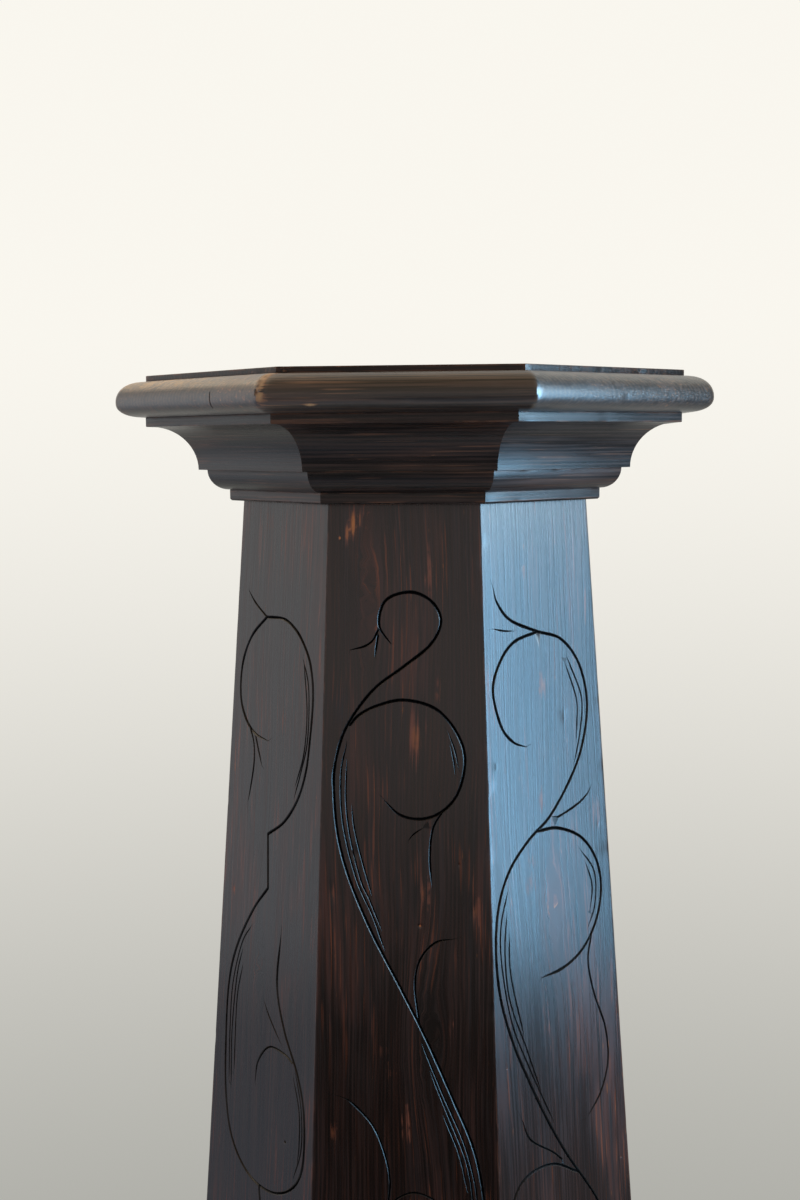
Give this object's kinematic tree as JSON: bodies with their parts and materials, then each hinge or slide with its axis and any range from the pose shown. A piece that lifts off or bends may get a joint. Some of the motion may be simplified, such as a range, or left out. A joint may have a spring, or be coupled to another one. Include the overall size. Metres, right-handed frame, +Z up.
{
  "type": "pedestal column stand",
  "caption": "Tall octagonal pedestal stand: tapered column of mitred boards carved with scrolling vine lines, hollow-moulded cap, rounded-edge top and moulded plinth.",
  "frame": {"origin": "middle of the footprint, at floor level", "axes": "+Z up along the column's axis; the front face of the column looks along -Y, so -Y is the front and +X the right-hand side seen from the front"},
  "size_m": [0.5, 0.5, 1.2],
  "materials": {
    "column_wood": "softwood stained nearly black, satin lacquer, worn to red-brown on the arrises",
    "moulding_wood": "softwood mouldings stained nearly black, satin lacquer",
    "top_wood": "solid softwood board stained dark brown, satin lacquer, rubbed paler on the rounded edge",
    "inner_wood": "bare sawn softwood and plywood, unfinished",
    "screw_steel": "zinc-plated steel wood screws"
  },
  "bodies": {
    "root": {"top_panel": "top_wood", "top_board": "top_wood", "cove_moulding_front": "moulding_wood", "cove_moulding_front_right": "moulding_wood", "cove_moulding_right": "moulding_wood", "cove_moulding_back_right": "moulding_wood", "cove_moulding_back": "moulding_wood", "cove_moulding_back_left": "moulding_wood", "cove_moulding_left": "moulding_wood", "cove_moulding_front_left": "moulding_wood", "ovolo_moulding_front": "moulding_wood", "ovolo_moulding_front_right": "moulding_wood", "ovolo_moulding_right": "moulding_wood", "ovolo_moulding_back_right": "moulding_wood", "ovolo_moulding_back": "moulding_wood", "ovolo_moulding_back_left": "moulding_wood", "ovolo_moulding_left": "moulding_wood", "ovolo_moulding_front_left": "moulding_wood", "necking_strip_front": "moulding_wood", "necking_strip_front_right": "moulding_wood", "necking_strip_right": "moulding_wood", "necking_strip_back_right": "moulding_wood", "necking_strip_back": "moulding_wood", "necking_strip_back_left": "moulding_wood", "necking_strip_left": "moulding_wood", "necking_strip_front_left": "moulding_wood", "column_board_front": "column_wood", "column_board_front_right": "column_wood", "column_board_right": "column_wood", "column_board_back_right": "column_wood", "column_board_back": "column_wood", "column_board_back_left": "column_wood", "column_board_left": "column_wood", "column_board_front_left": "column_wood", "plinth_board_front": "moulding_wood", "plinth_board_front_right": "moulding_wood", "plinth_board_right": "moulding_wood", "plinth_board_back_right": "moulding_wood", "plinth_board_back": "moulding_wood", "plinth_board_back_left": "moulding_wood", "plinth_board_left": "moulding_wood", "plinth_board_front_left": "moulding_wood", "base_moulding_front": "moulding_wood", "base_moulding_front_right": "moulding_wood", "base_moulding_right": "moulding_wood", "base_moulding_back_right": "moulding_wood", "base_moulding_back": "moulding_wood", "base_moulding_back_left": "moulding_wood", "base_moulding_left": "moulding_wood", "base_moulding_front_left": "moulding_wood", "subtop_board": "inner_wood", "middle_board": "inner_wood", "bottom_board": "inner_wood", "upper_cleats": "inner_wood", "middle_cleats": "inner_wood", "lower_cleats": "inner_wood", "top_screws": "screw_steel", "bottom_screws": "screw_steel"}
  },
  "joints": []
}
